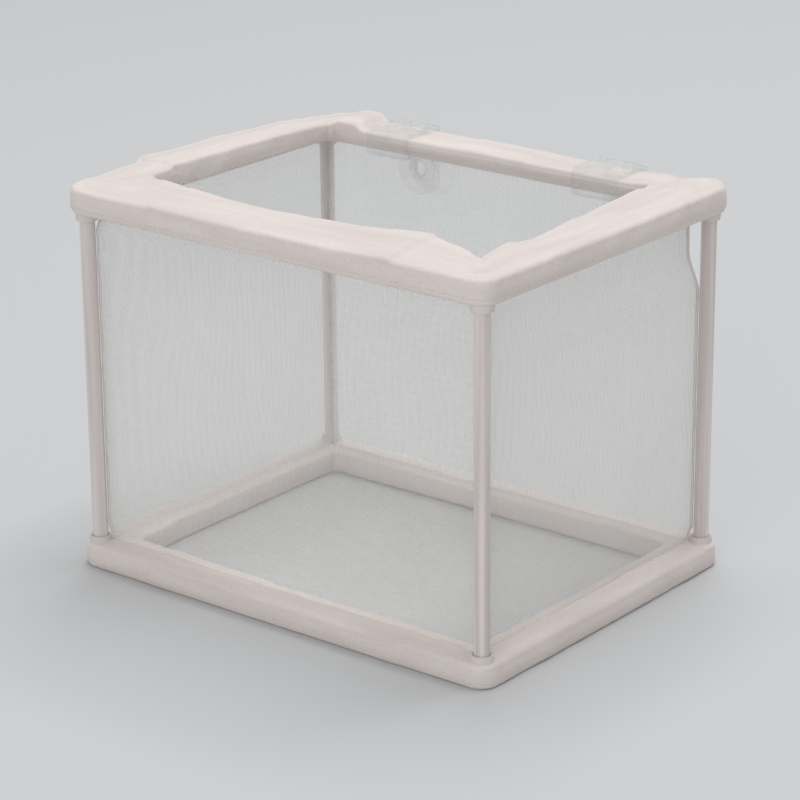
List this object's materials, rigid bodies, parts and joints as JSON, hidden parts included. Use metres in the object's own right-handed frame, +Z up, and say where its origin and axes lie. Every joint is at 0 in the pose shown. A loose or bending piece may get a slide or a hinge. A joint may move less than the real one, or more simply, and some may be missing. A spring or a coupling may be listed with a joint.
{
  "type": "net breeding box",
  "caption": "Net isolation box for fish fry: a rod and corner frame sleeved by soft hems, fine net walls and floor, and clips with suction cups.",
  "frame": {"origin": "middle of the base, on the plane that the bottom hem and the net floor rest on", "axes": "+X right along the long side, +Y to the back, where the clips and suction cups are, +Z up"},
  "size_m": [0.166, 0.1367, 0.1289],
  "materials": {
    "hem_cloth": "soft white binding cloth with a fine weave",
    "net_mesh": "very fine white net that lets most light through",
    "seam_tape": "narrow white sewn seam",
    "frame_plastic": "moulded white plastic",
    "post_plastic": "smooth pale grey extruded rod",
    "clear_plastic": "clear moulded plastic",
    "clear_rubber": "clear soft vinyl"
  },
  "bodies": {
    "box": {"top_hem_front": "hem_cloth", "top_hem_back": "hem_cloth", "top_hem_left": "hem_cloth", "top_hem_right": "hem_cloth", "bottom_hem_front": "hem_cloth", "bottom_hem_back": "hem_cloth", "bottom_hem_left": "hem_cloth", "bottom_hem_right": "hem_cloth", "top_rail_front": "frame_plastic", "top_rail_back": "frame_plastic", "top_rail_left": "frame_plastic", "top_rail_right": "frame_plastic", "bottom_rail_front": "frame_plastic", "bottom_rail_back": "frame_plastic", "bottom_rail_left": "frame_plastic", "bottom_rail_right": "frame_plastic", "top_corner_front_left": "frame_plastic", "top_corner_front_right": "frame_plastic", "top_corner_back_right": "frame_plastic", "top_corner_back_left": "frame_plastic", "bottom_corner_front_left": "frame_plastic", "bottom_corner_front_right": "frame_plastic", "bottom_corner_back_right": "frame_plastic", "bottom_corner_back_left": "frame_plastic", "post_front_left": "post_plastic", "post_front_right": "post_plastic", "post_back_right": "post_plastic", "post_back_left": "post_plastic", "net_front": "net_mesh", "net_back": "net_mesh", "net_left": "net_mesh", "net_right": "net_mesh", "net_floor": "net_mesh", "seam_front_left": "seam_tape", "seam_front_right": "seam_tape", "seam_back_right": "seam_tape", "seam_back_left": "seam_tape"},
    "clip_left_body": {"clip_left": "clear_plastic"},
    "clip_right_body": {"clip_right": "clear_plastic"},
    "cup_left_body": {"suction_cup_left": "clear_rubber"},
    "cup_right_body": {"suction_cup_right": "clear_rubber"}
  },
  "joints": [
    {"name": "clip_left_slide", "type": "slide", "parent": "box", "child": "clip_left_body", "axis": [1, 0, 0], "range_m": [-0.002, 0.016]},
    {"name": "clip_right_slide", "type": "slide", "parent": "box", "child": "clip_right_body", "axis": [1, 0, 0], "range_m": [-0.016, 0.002]},
    {"name": "cup_left_turn", "type": "hinge", "parent": "clip_left_body", "child": "cup_left_body", "pos_m": [-0.042, 0.0669, 0.1125], "axis": [0, 1, 0], "continuous": true},
    {"name": "cup_right_turn", "type": "hinge", "parent": "clip_right_body", "child": "cup_right_body", "pos_m": [0.042, 0.0669, 0.1125], "axis": [0, 1, 0], "continuous": true}
  ]
}
